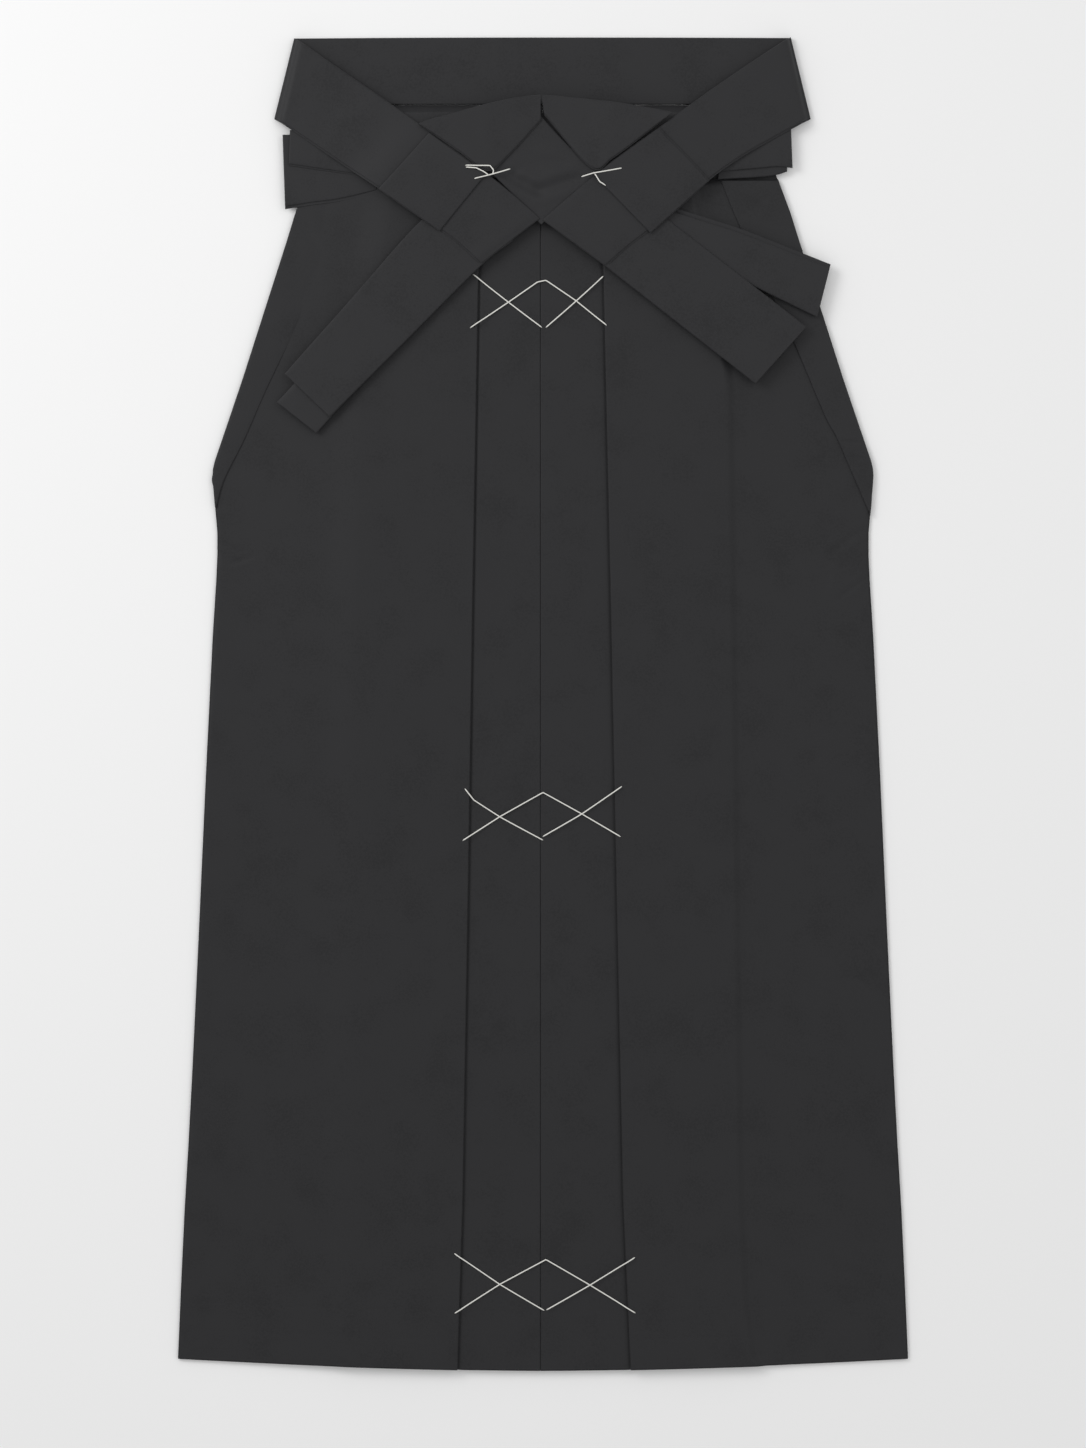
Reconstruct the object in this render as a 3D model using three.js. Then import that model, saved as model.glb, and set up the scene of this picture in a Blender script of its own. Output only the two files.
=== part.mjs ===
// Pleated hakama trousers, folded flat and face up, with the ties laced into a lattice at the waist.
// Millimetres. x runs across the garment, h is the height above the hem and z is up from the table.
// The finished part lies on z = 0 with +Y towards the waist and the origin under its middle.

import * as THREE from "three";

// ---- driving sizes ----
const garmentLength = 1041; // hem to the top edge of the back waistband
const frontTop = 930; // height of the front panels' sewn top edge
const backTop = 988.2; // height of the back panels' sewn top edge
const crotchHeight = 560; // where the inner leg pieces begin
const innerLegHemWidth = 60;
const innerLegCrotchWidth = 12;
const hemRise = 9; // how far the hem's side corners sit above its middle
const hemHalfWidth = 285;
const hemCurvePower = 1.7;
const seamGap = 0.3; // clearance between neighbouring pieces
const halfSeamGap = seamGap / 2;
const panelWall = 1.0; // panel cloth with its turned edges
const tieWall = 1.6; // flat tie of several thicknesses of cloth
const layerPitch = panelWall + seamGap;
const tiePitch = tieWall + seamGap;
const foldRadius = layerPitch / 2;
const foldSteps = 4; // facets round one pleat fold
const dropShares = [0, 0.25, 0.5, 0.75, 1]; // points along the slope down to the outer level
const plateauDropStart = 4; // run beyond the deepest pleat fold before the top layer sinks
const plateauDropRun = 14; // distance over which the top layer sinks to the outer level
const centreShift = -1.6; // the centre front lies this far to one side of the middle
const shiftReach = 250; // distance over which that offset dies away
const runSteps = 2; // parts into which each flat stretch of a section is divided

// ---- layer numbers, counted up from the table ----
const backLayer = 0;
const innerLegLayer = 1;
const frontOuterLayer = 1;
const frontBaseLayer = 2;
const sideFoldLayer = 2;
const centreReturnLayer = 3;
const centrePanelLayer = 4;
const sideReturnLayer = 5;
const sidePanelLayer = 6;

// ---- heights of the ties' undersides ----
const foldedTieLevel = sidePanelLayer * layerPitch + panelWall + seamGap;
const lowTieLevel = foldedTieLevel;
const middleTieLevel = lowTieLevel + tiePitch;
const latticeLevel = middleTieLevel + tiePitch;
const topTieLevel = latticeLevel + tiePitch;
const lowerLoopLevel = 4.0;
const upperLoopLevel = lowerLoopLevel + tiePitch;
const cornerLevel = tieWall + seamGap; // tie folded back over the end of the back waistband
const overLoopLevel = upperLoopLevel + tiePitch;
const overBandLevel = foldedTieLevel + seamGap;
const tailDroop = 0.5; // each free tie end sinks by steps of this beyond the pleats
const frontBandLevel = overBandLevel - seamGap - tieWall - seamGap;

// ---- side outline: h above the hem, half width ----
const sideOutline = [
  { h: 0, half: 285 },
  { h: 56, half: 282.7 },
  { h: 118, half: 279.8 },
  { h: 227, half: 273.8 },
  { h: 330, half: 269 },
  { h: 461, half: 263.2 },
  { h: 571, half: 257.8 },
  { h: 633, half: 254.2 },
  { h: 668, half: 255.6 },
  { h: 698, half: 258.3 },
  { h: 719, half: 252.6 },
  { h: 773, half: 234.5 },
  { h: 836, half: 214.5 },
  { h: 883, half: 199.5 },
  { h: 903, half: 193.5 },
  { h: 930, half: 183.5 },
  { h: 988.2, half: 165 },
];

// ---- pleats: h, visible pleat line, hidden fold of the side pleat, hidden fold of the centre pleat ----
const pleatTable = [
  { h: 0, line: 68.2, sideFold: 163, centreFold: 92 },
  { h: 56, line: 66.4, sideFold: 160, centreFold: 91 },
  { h: 227, line: 61.2, sideFold: 156, centreFold: 90 },
  { h: 461, line: 56.6, sideFold: 151, centreFold: 88 },
  { h: 668, line: 52.8, sideFold: 149, centreFold: 86 },
  { h: 773, line: 51, sideFold: 146, centreFold: 84 },
  { h: 860, line: 49, sideFold: 128, centreFold: 82 },
  { h: 930, line: 47.6, sideFold: 110, centreFold: 80 },
];

// ---- leaf-shaped folds along the side openings: h, outer edge, inner edge ----
const sideFoldTable = [
  { h: 925, outer: 185, inner: 141 },
  { h: 900, outer: 194, inner: 154 },
  { h: 850, outer: 210, inner: 177 },
  { h: 803, outer: 225, inner: 197 },
  { h: 765, outer: 237, inner: 214.5 },
  { h: 735, outer: 247, inner: 228 },
  { h: 705, outer: 256.5, inner: 242.5 },
  { h: 685, outer: 257.2, inner: 250.5 },
  { h: 671, outer: 255.7, inner: 254 },
];

// ---- ties: upper edge point, lower edge point, underside height at each station along the tie ----
const leftBackTie = [
  { a: [-194.2, 1040.1], b: [-209.6, 977.0], z: cornerLevel },
  { a: [-186.4, 1034.7], b: [-201.6, 971.5], z: overLoopLevel },
  { a: [-128.7, 994.3], b: [-154.4, 939.1], z: overBandLevel },
  { a: [-88.1, 966.0], b: [-128.7, 921.6], z: latticeLevel },
  { a: [-43.7, 933.3], b: [-80.3, 888.0], z: latticeLevel },
  { a: [-2.4, 898.0], b: [-49.1, 862.3], z: latticeLevel },
];
const rightBackTie = [
  { a: [193.4, 1040.6], b: [209.6, 976.2], z: cornerLevel },
  { a: [185.6, 1035.8], b: [200.5, 970.3], z: overLoopLevel },
  { a: [131.8, 1000.4], b: [157.6, 941.1], z: overBandLevel },
  { a: [91.3, 969.9], b: [134.2, 925.5], z: latticeLevel },
  { a: [38.2, 930.9], b: [83.5, 888.0], z: latticeLevel },
  { a: [-0.8, 898.0], b: [49.1, 860.7], z: latticeLevel },
];
const leftUpperFan = [
  { a: [-96.0, 971.2], b: [-94.0, 968.9], z: topTieLevel },
  { a: [-68.6, 977.7], b: [-70.0, 951.8], z: topTieLevel },
  { a: [-49.1, 985.5], b: [-43.6, 934.3], z: topTieLevel },
  { a: [-23.4, 991.0], b: [-29.4, 943.9], z: latticeLevel },
  { a: [-1.9, 994.1], b: [-1.9, 973.4], z: latticeLevel },
];
const rightUpperFan = [
  { a: [96.4, 974.4], b: [94.0, 972.4], z: topTieLevel },
  { a: [60.1, 986.3], b: [65.0, 953.6], z: topTieLevel },
  { a: [40.0, 989.8], b: [38.2, 933.4], z: topTieLevel },
  { a: [20.0, 992.2], b: [19.4, 955.2], z: latticeLevel },
  { a: [-1.4, 994.1], b: [0.8, 977.7], z: latticeLevel },
];
const leftDiamond = [
  { a: [-89.2, 964.1], b: [-45.6, 932.2], z: topTieLevel },
  { a: [-128.7, 921.6], b: [-80.3, 888.0], z: topTieLevel },
];
const rightDiamond = [
  { a: [91.6, 969.2], b: [40.4, 931.2], z: topTieLevel },
  { a: [134.2, 925.5], b: [83.5, 886.5], z: topTieLevel },
];
const centreDiamond = [
  { a: [-1.6, 976.2], b: [41.3, 934.8], z: middleTieLevel },
  { a: [-41.3, 936.4], b: [-1.6, 893.5], z: middleTieLevel },
];
const leftTailUpper = [
  { a: [-75.7, 913.0], b: [-23.4, 881.0], z: middleTieLevel },
  { a: [-103.0, 888.8], b: [-49.1, 860.7], z: middleTieLevel },
  { a: [-184.5, 796.0], b: [-146.7, 763.1], z: middleTieLevel },
  { a: [-201.2, 777.3], b: [-166.1, 743.7], z: middleTieLevel - tailDroop },
];
const leftTailLower = [
  { a: [-90.0, 880.6], b: [-56.9, 862.4], z: lowTieLevel },
  { a: [-181.0, 783.6], b: [-150.0, 760.5], z: lowTieLevel },
  { a: [-207.5, 755.4], b: [-177.1, 731.2], z: lowTieLevel - 2 * tailDroop },
];
const rightTailUpper = [
  { a: [69.4, 902.1], b: [30.4, 875.6], z: middleTieLevel },
  { a: [91.3, 888.0], b: [49.1, 860.7], z: middleTieLevel },
  { a: [187.8, 825.0], b: [148.0, 783.1], z: middleTieLevel },
  { a: [205.1, 813.9], b: [165.4, 769.5], z: middleTieLevel - tailDroop },
];
const rightTailLower = [
  { a: [91.3, 907.5], b: [83.5, 884.4], z: lowTieLevel },
  { a: [157.0, 885.0], b: [148.0, 853.4], z: lowTieLevel },
  { a: [223.9, 862.3], b: [213.7, 821.7], z: lowTieLevel - 3 * tailDroop },
];
const leftUpperLoop = [
  { a: [-197.3, 969.9], b: [-198.1, 939.9], z: upperLoopLevel },
  { a: [-170.0, 964.5], b: [-170.0, 936.4], z: upperLoopLevel },
  { a: [-141.2, 952.8], b: [-141.2, 932.5], z: upperLoopLevel },
];
const leftLowerLoop = [
  { a: [-203.2, 964.5], b: [-201.2, 906.4], z: lowerLoopLevel },
  { a: [-166.1, 964.5], b: [-158.3, 913.0], z: lowerLoopLevel },
  { a: [-130.3, 952.8], b: [-130.3, 917.7], z: lowerLoopLevel },
];
const rightUpperLoop = [
  { a: [193.4, 969.1], b: [194.6, 938.8], z: upperLoopLevel },
  { a: [169.3, 969.1], b: [169.3, 936.4], z: upperLoopLevel },
  { a: [139.6, 952.8], b: [139.6, 932.4], z: upperLoopLevel },
];
const rightLowerLoop = [
  { a: [191.4, 966.0], b: [191.8, 936.2], z: lowerLoopLevel },
  { a: [167.3, 966.0], b: [167.3, 933.2], z: lowerLoopLevel },
  { a: [139.6, 950.8], b: [139.6, 929.2], z: lowerLoopLevel },
];
const frontWaistband = [
  { a: [-120, 981.6], b: [-120, frontTop + seamGap], z: frontBandLevel },
  { a: [120, 981.6], b: [120, frontTop + seamGap], z: frontBandLevel },
];
const backWaistband = [
  { a: [-194.2, 1040.4], b: [-207.0, backTop + seamGap], z: 0 },
  { a: [-1.6, garmentLength], b: [-1.6, backTop + seamGap], z: 0 },
  { a: [193.4, 1040.4], b: [206.2, backTop + seamGap], z: 0 },
];

// ---- rounding of a strip's long edge: inset and half thickness as shares of the half wall ----
const roundedEdge = [
  { inset: 0, half: 0.35 },
  { inset: 0.3, half: 0.72 },
  { inset: 1, half: 1 },
];

// ---- the two cloths ----
const clothLook = { color: 0x28282b, roughness: 0.72, metalness: 0 };
const tieLook = { color: 0x2a2a2d, roughness: 0.68, metalness: 0 };

/** Straight-line lookup in a table that is ordered by height, for one named column. */
function atHeight(table, column, h) {
  const rows = table[0].h < table[table.length - 1].h ? table : [...table].reverse();
  if (h <= rows[0].h) return rows[0][column];
  for (let i = 1; i < rows.length; i += 1) {
    if (h <= rows[i].h) {
      const share = (h - rows[i - 1].h) / (rows[i].h - rows[i - 1].h);
      return rows[i - 1][column] + share * (rows[i][column] - rows[i - 1][column]);
    }
  }
  return rows[rows.length - 1][column];
}

/** Height of the hem at a distance across the garment, dying away towards the waist. */
function hemLift(x, h) {
  const lift = hemRise * Math.pow(Math.abs(x) / hemHalfWidth, hemCurvePower);
  return lift * Math.max(0, 1 - h / frontTop);
}

const layerMiddle = (layer) => layer * layerPitch + panelWall / 2;

/** Closed mesh through equal rings; point i of a ring faces point (last - i) across the wall. */
function meshFromRings(name, rings, look) {
  const count = rings[0].length;
  const positions = rings.flat(2);
  const faces = [];
  for (let r = 0; r + 1 < rings.length; r += 1) {
    for (let i = 0; i < count; i += 1) {
      const j = (i + 1) % count;
      const here = r * count;
      const next = here + count;
      faces.push([here + i, here + j, next + j], [here + i, next + j, next + i]);
    }
  }
  const lastRing = (rings.length - 1) * count;
  for (let i = 0; i + 1 < count / 2; i += 1) {
    const j = count - 1 - i;
    faces.push([i, j - 1, i + 1], [i, j, j - 1]);
    faces.push([lastRing + i, lastRing + i + 1, lastRing + j - 1]);
    faces.push([lastRing + i, lastRing + j - 1, lastRing + j]);
  }
  const point = (k) => new THREE.Vector3().fromArray(positions, 3 * k);
  const volume = faces.reduce((sum, [a, b, c]) => sum + point(a).dot(point(b).cross(point(c))), 0);
  const outward = volume < 0 ? faces.map(([a, b, c]) => [a, c, b]) : faces;
  const geometry = new THREE.BufferGeometry();
  geometry.setAttribute("position", new THREE.Float32BufferAttribute(positions, 3));
  geometry.setIndex(outward.flat());
  geometry.computeVertexNormals();
  const mesh = new THREE.Mesh(geometry, new THREE.MeshStandardMaterial(look));
  mesh.name = name;
  return mesh;
}

/** Points of a constant wall round a centreline given as [distance out, z] pairs. */
function wallRing(centreline, wall) {
  const upper = [];
  const lower = [];
  centreline.forEach(([u, z], i) => {
    const before = centreline[Math.max(0, i - 1)];
    const after = centreline[Math.min(centreline.length - 1, i + 1)];
    const du = after[0] - before[0];
    const dz = after[1] - before[1];
    const scale = wall / 2 / Math.hypot(du, dz);
    upper.push([u - dz * scale, z + du * scale]);
    lower.push([u + dz * scale, z - du * scale]);
  });
  return [...upper, ...lower.reverse()];
}

/** Lofts a section that changes with height into one side's panel; side is -1 or +1. */
function panel(name, side, heights, centrelineAt, look) {
  const rings = heights.map((h) =>
    wallRing(centrelineAt(h), panelWall).map(([u, z]) => {
      const x = side * u + centreShift * Math.max(0, 1 - u / shiftReach);
      return [x, h + hemLift(x, h) - garmentLength / 2, z];
    })
  );
  return meshFromRings(name, rings, look);
}

/** Even points from one distance to another at a constant height, without the last one. */
function flatRun(from, to, z) {
  return Array.from({ length: runSteps }, (_, i) => [from + ((to - from) * i) / runSteps, z]);
}

/** Half-round fold from one layer up to the next; direction +1 bulges away from the centre. */
function foldTurn(at, layer, direction) {
  const middle = layerMiddle(layer) + foldRadius;
  return Array.from({ length: foldSteps + 1 }, (_, i) => {
    const angle = -Math.PI / 2 + (Math.PI * i) / foldSteps;
    return [at - direction * (foldRadius * (1 - Math.cos(angle))), middle + foldRadius * Math.sin(angle)];
  });
}

/** Section of one front half: a centre pleat and a side pleat lying on the base layer. */
function frontCentreline(h) {
  const row = (column) => atHeight(pleatTable, column, h);
  const edgeInset = panelWall / 2;
  const folds = [
    { at: row("centreFold"), layer: frontBaseLayer, direction: 1 },
    { at: halfSeamGap + edgeInset, layer: centreReturnLayer, direction: -1 },
    { at: row("sideFold"), layer: centrePanelLayer, direction: 1 },
    { at: row("line"), layer: sideReturnLayer, direction: -1 },
  ];
  const path = [];
  let from = halfSeamGap;
  folds.forEach(({ at, layer, direction }) => {
    const run = flatRun(from, at - direction * foldRadius, layerMiddle(layer));
    path.push(...(path.length ? run.slice(1) : run), ...foldTurn(at, layer, direction));
    from = at - direction * foldRadius;
  });
  const high = layerMiddle(sidePanelLayer);
  const low = layerMiddle(frontOuterLayer);
  const dropStart = row("sideFold") + plateauDropStart;
  path.push(...flatRun(from, dropStart, high).slice(1));
  dropShares.forEach((share) => {
    const fall = (1 - Math.cos(Math.PI * share)) / 2;
    path.push([dropStart + share * plateauDropRun, high + (low - high) * fall]);
  });
  const edge = atHeight(sideOutline, "half", h);
  path.push(...flatRun(dropStart + plateauDropRun, edge, low).slice(1), [edge, low]);
  return path;
}

/** Section of one back half: a single flat layer from the centre back to the side edge. */
function backCentreline(h) {
  const edge = atHeight(sideOutline, "half", h) - seamGap;
  const level = layerMiddle(backLayer);
  const middle = (halfSeamGap + edge) / 2;
  return [...flatRun(halfSeamGap, middle, level), ...flatRun(middle, edge, level), [edge, level]];
}

/** Section of one inner leg piece, which narrows from the hem to the crotch. */
function innerLegCentreline(h) {
  const widening = (innerLegHemWidth - innerLegCrotchWidth) * (1 - h / crotchHeight);
  return [halfSeamGap, innerLegCrotchWidth + widening].map((u) => [u, layerMiddle(innerLegLayer)]);
}

/** Flat strip with rounded long edges through stations of upper edge, lower edge and underside. */
function ribbon(name, stations, wall, look) {
  const radius = wall / 2;
  const rings = stations.map(({ a, b, z }) => {
    const width = Math.hypot(b[0] - a[0], b[1] - a[1]);
    const round = Math.min(radius, width / 3);
    const nearEdge = roundedEdge.map(({ inset, half }) => ({ share: (inset * round) / width, half }));
    const farEdge = nearEdge.map(({ share, half }) => ({ share: 1 - share, half })).reverse();
    const profile = [...nearEdge, ...farEdge];
    const place = ({ share, half }, sign) => [
      a[0] + (b[0] - a[0]) * share,
      a[1] + (b[1] - a[1]) * share - garmentLength / 2,
      z + radius + sign * half * radius,
    ];
    const upper = profile.map((p) => place(p, 1));
    const lower = profile.map((p) => place(p, -1));
    return [...upper, ...lower.reverse()];
  });
  return meshFromRings(name, rings, look);
}

const pleatHeights = [0, 56, 118, 227, 330, 461, 571, 633, 668, 698, 719, 773, 836, 883, 903, frontTop];
const backHeights = [...pleatHeights, backTop];
const innerLegHeights = [0, 118, 227, 330, 461, crotchHeight];
const sideFoldStations = (side) =>
  sideFoldTable.map(({ h, outer, inner }) => ({
    a: [side * outer, h],
    b: [side * inner, h],
    z: sideFoldLayer * layerPitch,
  }));

const garment = new THREE.Group();
garment.name = "hakama_trousers";
for (const [word, side] of [["left", -1], ["right", 1]]) {
  garment.add(panel(`back_panel_${word}`, side, backHeights, backCentreline, clothLook));
  garment.add(panel(`inner_leg_${word}`, side, innerLegHeights, innerLegCentreline, clothLook));
  garment.add(panel(`front_panel_${word}`, side, pleatHeights, frontCentreline, clothLook));
  garment.add(ribbon(`side_fold_${word}`, sideFoldStations(side), panelWall, clothLook));
}
const tiePieces = {
  back_waistband: backWaistband,
  front_waistband: frontWaistband,
  back_tie_left: leftBackTie,
  back_tie_right: rightBackTie,
  upper_fan_left: leftUpperFan,
  upper_fan_right: rightUpperFan,
  diamond_left: leftDiamond,
  diamond_right: rightDiamond,
  diamond_centre: centreDiamond,
  tail_left_upper: leftTailUpper,
  tail_left_lower: leftTailLower,
  tail_right_upper: rightTailUpper,
  tail_right_lower: rightTailLower,
  loop_left_upper: leftUpperLoop,
  loop_left_lower: leftLowerLoop,
  loop_right_upper: rightUpperLoop,
  loop_right_lower: rightLowerLoop,
};
Object.entries(tiePieces).forEach(([name, stations]) => {
  garment.add(ribbon(name, stations, tieWall, tieLook));
});

export default garment;
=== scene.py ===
import logging
import math
from dataclasses import dataclass
from enum import Enum

import bpy
import numpy as np
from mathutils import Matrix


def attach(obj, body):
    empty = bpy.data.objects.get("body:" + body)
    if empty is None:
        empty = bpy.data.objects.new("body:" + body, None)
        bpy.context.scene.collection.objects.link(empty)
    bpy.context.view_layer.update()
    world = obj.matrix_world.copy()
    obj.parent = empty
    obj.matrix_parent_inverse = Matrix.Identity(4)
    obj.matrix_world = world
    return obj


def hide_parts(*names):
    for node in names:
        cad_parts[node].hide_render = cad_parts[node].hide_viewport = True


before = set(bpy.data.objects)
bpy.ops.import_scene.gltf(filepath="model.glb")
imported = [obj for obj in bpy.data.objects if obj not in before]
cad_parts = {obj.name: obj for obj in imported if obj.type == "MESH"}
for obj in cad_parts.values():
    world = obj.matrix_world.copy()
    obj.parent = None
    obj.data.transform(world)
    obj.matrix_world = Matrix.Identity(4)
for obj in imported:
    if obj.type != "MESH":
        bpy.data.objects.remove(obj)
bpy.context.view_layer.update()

# Pleated hakama trousers, folded flat and face up, with the ties laced into a lattice at the waist.
# Sizes are in millimetres: x across the garment, h above the hem, z up from the surface it lies on.

GARMENT_LENGTH = 1041.0
FRONT_TOP = 930.0
BACK_TOP = 988.2
HEM_RISE = 9.0
HEM_HALF_WIDTH = 285.0
HEM_POWER = 1.7
METRE = 0.001
LOG = logging.getLogger("hakama")


# ---------------------------------------------------------------- number helpers


def linear(srgb_hex: str) -> tuple[float, float, float, float]:
    """Turn an sRGB hex colour into linear light.

    Args:
        srgb_hex: six hex digits after a hash sign.
    Returns:
        Red, green, blue and an alpha of one.
    """
    parts = [int(srgb_hex[i:i + 2], 16) / 255 for i in (1, 3, 5)]
    red, green, blue = (c / 12.92 if c <= 0.04045 else ((c + 0.055) / 1.055) ** 2.4 for c in parts)
    return (red, green, blue, 1.0)


def smooth(t: np.ndarray) -> np.ndarray:
    """Smooth step from 0 to 1: 3t^2 - 2t^3 of t held between 0 and 1."""
    t = np.clip(t, 0.0, 1.0)
    return t * t * (3.0 - 2.0 * t)


def column(table: tuple[tuple[float, ...], ...], h: np.ndarray, index: int = 1) -> np.ndarray:
    """Read one column of a table at heights, by straight lines between its rows.

    Args:
        table: rows that rise in their first column, the height above the hem.
        h: heights to read at.
        index: which column to read.
    Returns:
        One value for each height.
    """
    rows = np.asarray(table, float)
    return np.interp(h, rows[:, 0], rows[:, index])


def eased(count: int) -> np.ndarray:
    """Shares 0 to 1 that crowd towards both ends: (1 - cos(pi s)) / 2."""
    return (1.0 - np.cos(np.pi * np.linspace(0.0, 1.0, count))) / 2.0


def through(points: np.ndarray, count: int) -> np.ndarray:
    """Carry a smooth line through points.

    A cubic between each two points, h00 p0 + h10 m0 + h01 p1 + h11 m1, with slopes taken from the neighbours.

    Args:
        points: rows of coordinates in order.
        count: how many rows to return.
    Returns:
        Evenly parted rows along the line.
    """
    tangent = np.gradient(points, axis=0)
    place = np.linspace(0.0, len(points) - 1.0, count)
    first = np.clip(place.astype(int), 0, len(points) - 2)
    t = (place - first)[:, None]
    return ((2 * t**3 - 3 * t**2 + 1) * points[first] + (t**3 - 2 * t**2 + t) * tangent[first]
            + (3 * t**2 - 2 * t**3) * points[first + 1] + (t**3 - t**2) * tangent[first + 1])


def hem_lift(x: np.ndarray, h: np.ndarray) -> np.ndarray:
    """Rise of the hem towards its corners, rise * |x / half width|^power, dying away up to the waist."""
    return HEM_RISE * (np.abs(x) / HEM_HALF_WIDTH) ** HEM_POWER * np.clip(1.0 - h / FRONT_TOP, 0.0, 1.0)


def undulation(x: np.ndarray, h: np.ndarray, amount: float, span: float, seed: int) -> np.ndarray:
    """Lie of the cloth: seven crossed waves of about one span, as no pressed cloth is dead flat.

    Args:
        x: places across the garment.
        h: places above the hem.
        amount: height of the largest swell.
        span: usual distance between swells.
        seed: fixes the waves' directions and phases.
    Returns:
        Height to add at each place.
    """
    draw = np.random.default_rng(seed)
    total = np.zeros_like(x + h)
    for _ in range(7):
        turn, phase = draw.uniform(0.0, 2 * math.pi, 2)
        length = span * draw.uniform(0.6, 1.7)
        total += np.sin(2 * math.pi * (x * math.cos(turn) + h * math.sin(turn)) / length + phase)
    return amount * total / 4.0


@dataclass(frozen=True)
class Crease:
    """One crease as a soft trough or ridge along a straight line, with a lower lip beside it."""

    start: tuple[float, float]
    end: tuple[float, float]
    rise: float
    width: float
    lip: float = 0.35

    def height(self, x: np.ndarray, h: np.ndarray) -> np.ndarray:
        """Height of the crease: rise * exp(-(d/width)^2) less its lips at 1.7 widths, fading at both ends.

        Args:
            x: places across the garment.
            h: places above the hem.
        Returns:
            Height to add at each place.
        """
        (x0, h0), (x1, h1) = self.start, self.end
        length = math.hypot(x1 - x0, h1 - h0)
        ux, uh = (x1 - x0) / length, (h1 - h0) / length
        along = (x - x0) * ux + (h - h0) * uh
        away = (x - x0) * uh - (h - h0) * ux
        beyond = np.maximum(0.0, np.maximum(-along, along - length))
        middle = 1.0 - 0.35 * np.clip(np.abs(2.0 * along / length - 1.0), 0.0, 1.0) ** 2
        bell = np.exp(-(away / self.width) ** 2)
        lips = np.exp(-((np.abs(away) - 1.7 * self.width) / self.width) ** 2)
        return self.rise * middle * (bell - self.lip * lips) * np.exp(-(beyond / (1.2 * self.width)) ** 2)


def creased(creases: tuple[Crease, ...], x: np.ndarray, h: np.ndarray) -> np.ndarray:
    """Sum of all the creases at each place."""
    return sum((c.height(x, h) for c in creases), np.zeros_like(x + h))


# ---------------------------------------------------------------- mesh helpers


def finished(name: str, spots: np.ndarray, faces: list[list[int]], rounded: int, flat: np.ndarray,
             material: bpy.types.Material) -> bpy.types.Object:
    """Turn points and faces into an object at the origin.

    Args:
        name: the piece's name.
        spots: points in millimetres.
        faces: point numbers of each face.
        rounded: how many of the first faces are shaded smooth.
        flat: each point's place on the uncut cloth or thread, in millimetres.
        material: its finish.
    Returns:
        The finished object.
    """
    mesh = bpy.data.meshes.new(name)
    mesh.from_pydata((spots * METRE).tolist(), [], faces)
    mesh.polygons.foreach_set("use_smooth", np.arange(len(faces)) < rounded)
    layer = mesh.uv_layers.new(name="laid_flat")
    corners = np.empty(len(mesh.loops), np.int32)
    mesh.loops.foreach_get("vertex_index", corners)
    layer.data.foreach_set("uv", (flat[corners] * METRE).astype(np.float32).ravel())
    mesh.materials.append(material)
    mesh.update()
    piece = bpy.data.objects.new(name, mesh)
    bpy.context.scene.collection.objects.link(piece)
    return piece


def mesh_piece(name: str, grid: np.ndarray, laid: np.ndarray,
               material: bpy.types.Material) -> bpy.types.Object:
    """Close a lofted ring grid into one solid piece of cloth.

    Ring r, point k goes to row r * points + k; neighbours make a quad, and at the first and last ring point k
    is joined to the point that faces it across the wall, k against the last less k.

    Args:
        name: the piece's name.
        grid: rings x points x 3 array in millimetres, h still above the hem.
        laid: rings x points x 2 array, each point's place on the uncut cloth in millimetres.
        material: its finish.
    Returns:
        The finished object, at the origin.
    """
    rings, points, _ = grid.shape
    spots = grid.reshape(-1, 3).copy()
    spots[:, 1] -= GARMENT_LENGTH / 2
    index = np.arange(rings * points).reshape(rings, points)
    here, right = index[:-1], np.roll(index, -1, axis=1)[:-1]
    above, across = index[1:], np.roll(index, -1, axis=1)[1:]
    sides = np.stack([here, right, across, above], axis=-1).reshape(-1, 4)
    k = np.arange(points // 2 - 1)
    start = np.stack([k, points - 1 - k, points - 2 - k, k + 1], axis=-1)
    end = (start + index[-1, 0])[:, ::-1]
    faces = np.concatenate([sides, start, end])
    a, b, c, d = (spots[faces[:, i]] for i in range(4))
    volume = np.einsum("ij,ij->", a, np.cross(b, c)) + np.einsum("ij,ij->", a, np.cross(c, d))
    if volume < 0:
        faces = faces[:, ::-1]
    return finished(name, spots, faces.tolist(), len(sides), laid.reshape(-1, 2), material)


def settle(piece: bpy.types.Object, nodes: tuple[str, ...]) -> None:
    """Tell the frame what a piece of cloth stands for, and hide the CAD nodes that it replaces.

    Args:
        piece: the finished cloth.
        nodes: the CAD nodes that it replaces.
    """
    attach(piece, "root")
    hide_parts(*nodes)
    LOG.info("%s: %d faces", piece.name, len(piece.data.polygons))


# ---------------------------------------------------------------- finishes


def blank_material(name: str) -> bpy.types.Material:
    """Open a material with an empty node tree."""
    made = bpy.data.materials.new(name)
    made.use_nodes = True
    made.node_tree.nodes.clear()
    return made


def add(tree: bpy.types.NodeTree, kind: str, settings: dict[str, object] | None = None,
        links: dict[str, bpy.types.NodeSocket] | None = None) -> bpy.types.Node:
    """Add one node to a material.

    Args:
        tree: the material's node tree.
        kind: the node's type name.
        settings: input sockets by name, or the node's own properties.
        links: the output socket that feeds each named input.
    Returns:
        The new node.
    """
    made = tree.nodes.new(kind)
    for key, value in (settings or {}).items():
        if key in made.inputs:
            made.inputs[key].default_value = value
        else:
            setattr(made, key, value)
    for key, source in (links or {}).items():
        tree.links.new(source, made.inputs[int(key) if key.isdigit() else key])
    return made


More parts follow.
